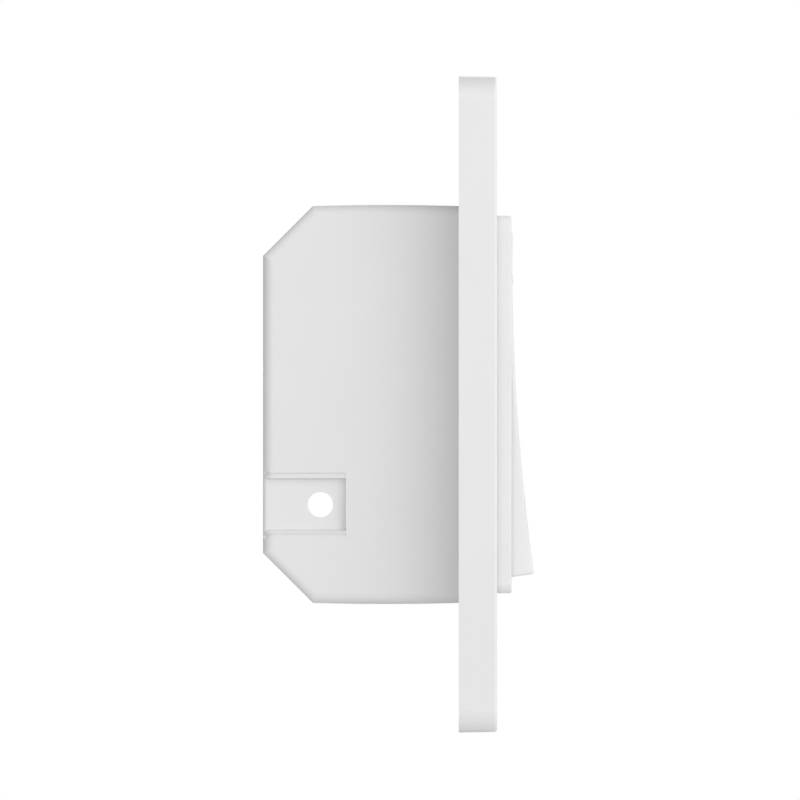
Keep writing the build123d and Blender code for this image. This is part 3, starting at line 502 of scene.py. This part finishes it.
def resampled(points, spacing):
    """The same line with points no further apart than the spacing."""
    line = [points[0]]
    for start, end in zip(points, points[1:]):
        count = max(1, math.ceil((end - start).length / spacing))
        for step in range(1, count + 1):
            line.append(start.lerp(end, step / count))
    return line


def leaf_line(foot_y, pad_y, foot_end_z, hole_z):
    """The leaf's middle line seen from the side, from the top of its foot to its tip."""
    foot_z = foot_end_z + leaf_foot_length
    foot = [Vector((0, foot_y, foot_z)), Vector((0, foot_y, hole_z + leaf_hole / 2))]
    corners = [
        Vector((0, foot_y, hole_z - leaf_hole / 2)),
        Vector((0, foot_y, foot_end_z)),
        Vector((0, pad_y, foot_z)),
        Vector((0, pad_y + leaf_tip_drop, foot_z + leaf_tip_length)),
    ]
    return resampled(foot + rounded_path(corners, leaf_bend_radius), leaf_spacing)


def leaf_mesh(line, foot_y, hole_z):
    """A strip without thickness along the line, narrowed to its tip, with a square hole in its foot."""
    columns = (-1.0, -leaf_hole / leaf_width, leaf_hole / leaf_width, 1.0)
    strip = bmesh.new()
    rows = []
    for index, point in enumerate(line):
        share = index / (len(line) - 1)
        narrowed = max(0.0, share - leaf_taper_start) / (1 - leaf_taper_start)
        half = (leaf_width + (leaf_tip_width - leaf_width) * narrowed) / 2
        rows.append([strip.verts.new((column * half, point.y, point.z)) for column in columns])
    for index, (row, ahead) in enumerate(zip(rows, rows[1:])):
        middle = (line[index] + line[index + 1]) / 2
        in_hole = abs(middle.z - hole_z) < leaf_hole / 2 and abs(middle.y - foot_y) < leaf_sheet
        for side in range(len(columns) - 1):
            beside_hole = columns[side] * columns[side + 1] > 0
            if beside_hole or not in_hole:
                strip.faces.new((row[side], row[side + 1], ahead[side + 1], ahead[side]))
    bmesh.ops.recalc_face_normals(strip, faces=strip.faces)
    mesh = bpy.data.meshes.new("leaf_spring")
    strip.to_mesh(mesh)
    strip.free()
    return mesh


def thicken(spring):
    """Gives the leaf its sheet's thickness and slightly rounded stamped edges."""
    thick = spring.modifiers.new("sheet", "SOLIDIFY")
    thick.thickness = leaf_sheet
    thick.offset = 0
    bevel = spring.modifiers.new("stamped_edges", "BEVEL")
    bevel.width = leaf_edge_radius
    bevel.segments = 2
    bevel.limit_method = "ANGLE"
    bake(spring)


def bake(obj, sharp_angle=40):
    """Turns the object's modifiers into its mesh and smooths all but its sharp edges."""
    graph = bpy.context.evaluated_depsgraph_get()
    mesh = bpy.data.meshes.new_from_object(obj.evaluated_get(graph))
    obj.modifiers.clear()
    obj.data = mesh
    for face in mesh.polygons:
        face.use_smooth = True
    mesh.set_sharp_from_angle(angle=math.radians(sharp_angle))


def make_leaf_spring():
    """Bent strip of spring steel with a hole round the strap's stake and a tip that narrows."""
    low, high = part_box("paddle_spring")
    foot_y = high.y - leaf_sheet / 2
    pad_y = low.y + leaf_sheet / 2
    half_bend = math.atan2(foot_y - pad_y, leaf_foot_length) / 2
    # The bend's lowest point lies this far above the corner where foot and leaf would meet
    bend_reach = leaf_bend_radius / math.tan(half_bend) - leaf_bend_radius - leaf_sheet / 2
    foot_end_z = low.z - bend_reach
    hole_z = foot_end_z + leaf_foot_length / 2
    line = leaf_line(foot_y, pad_y, foot_end_z, hole_z)
    spring = add_object("leaf_spring", leaf_mesh(line, foot_y, hole_z))
    thicken(spring)
    spring.data.materials.append(finishes["spring_steel"])
    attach(spring, "switch")
    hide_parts("paddle_spring")
    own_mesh(spring)


def white_plastics():
    """The plate, the frames, the paddle with its lit lens, and the housing."""
    return {
        "plate_white": moulded("plate_white", grey(0.93), 0.36, grain=0.10, depth=0.0012),
        "paddle_white": moulded("paddle_white", grey(0.905), 0.34, grain=0.10, depth=0.0012),
        "frame_white": moulded("frame_white", grey(0.90), 0.36, grain=0.10, depth=0.0012),
        "subframe_white": moulded("subframe_white", (0.90, 0.90, 0.89), 0.5, grain=0.16, depth=0.004),
        "housing_white": moulded(
            "housing_white", grey(0.92), 0.46, grain=0.16, depth=0.004, tight=chamfer_tightness
        ),
        "lens_clear": lit_lens("lens_clear", (0.84, 0.85, 0.97), (0.72, 0.74, 1.0), 0.12),
    }


def metals():
    """Plated sheet and turned screws; stretch is how much longer the streaks are along X, Y and Z."""
    return {
        "strap_steel": plated("strap_steel", (0.66, 0.67, 0.68), 0.34),
        "screw_steel": plated(
            "screw_steel", (0.70, 0.70, 0.68), 0.3, (3, 1, 3), 0.9, depth=0.001, turned=screw_pitch
        ),
        "spring_steel": plated(
            "spring_steel", (0.60, 0.60, 0.61), 0.24, stretch=(1, 20, 20), spangle=3.0, depth=0.001
        ),
        "shield_steel": plated(
            "shield_steel", (0.75, 0.75, 0.73), 0.28, stretch=(1, 1, 12), spangle=1.4, depth=0.001
        ),
        "clamp_brass": plated(
            "clamp_brass", (0.72, 0.52, 0.22), 0.28, stretch=(1, 12, 1), spangle=1.2, depth=0.001
        ),
        "ground_copper": plated(
            "ground_copper", (0.76, 0.66, 0.5), 0.3, stretch=(1, 12, 12), spangle=1.6, depth=0.001
        ),
    }


def electronics():
    """The boards, cases, sleeves and coats of what the housing holds."""
    return {
        "led_body": moulded("led_body", (0.90, 0.90, 0.82), 0.4, grain=0.08),
        "insulator_fibre": fibre_sheet("insulator_fibre", grey(0.2)),
        "board_green": circuit_board("board_green", (0.03, 0.17, 0.07), (0.07, 0.3, 0.12)),
        "radio_board": circuit_board("radio_board", (0.03, 0.04, 0.09), (0.06, 0.08, 0.17)),
        "connector_black": moulded("connector_black", grey(0.03), 0.5, grain=0.14, wear=0.05),
        "relay_blue": moulded("relay_blue", (0.03, 0.1, 0.36), 0.38, grain=0.14, cloud=0.05),
        "ferrite": sintered("ferrite", grey(0.06)),
        "winding_tape": wound_tape("winding_tape", (0.72, 0.48, 0.05)),
        "capacitor_sleeve": moulded("capacitor_sleeve", (0.03, 0.03, 0.05), 0.3, grain=0.5, depth=0.01),
        "film_capacitor": moulded("film_capacitor", (0.68, 0.48, 0.05), 0.36, grain=0.2, cloud=0.04),
        "varistor_coat": dipped("varistor_coat", (0.05, 0.16, 0.5)),
        "fuse_coat": dipped("fuse_coat", (0.2, 0.34, 0.2)),
        "switch_black": moulded("switch_black", grey(0.04), 0.4, grain=0.1),
        "terminal_grey": moulded(
            "terminal_grey", (0.07, 0.07, 0.08), 0.48, grain=0.18, depth=0.006, cloud=0.06
        ),
    }


def dress_nodes():
    """Gives every carried-over node the finish of its own material slot, whose name it arrives with."""
    for node in nodes.values():
        slot = node.data.materials[0].name
        node.data.materials.clear()
        node.data.materials.append(finishes[slot])


make_camera()
make_world()
make_floor()
finishes = {**white_plastics(), **metals(), **electronics()}
dress_nodes()
make_leaf_spring()

bpy.context.scene.view_settings.view_transform = "Standard"
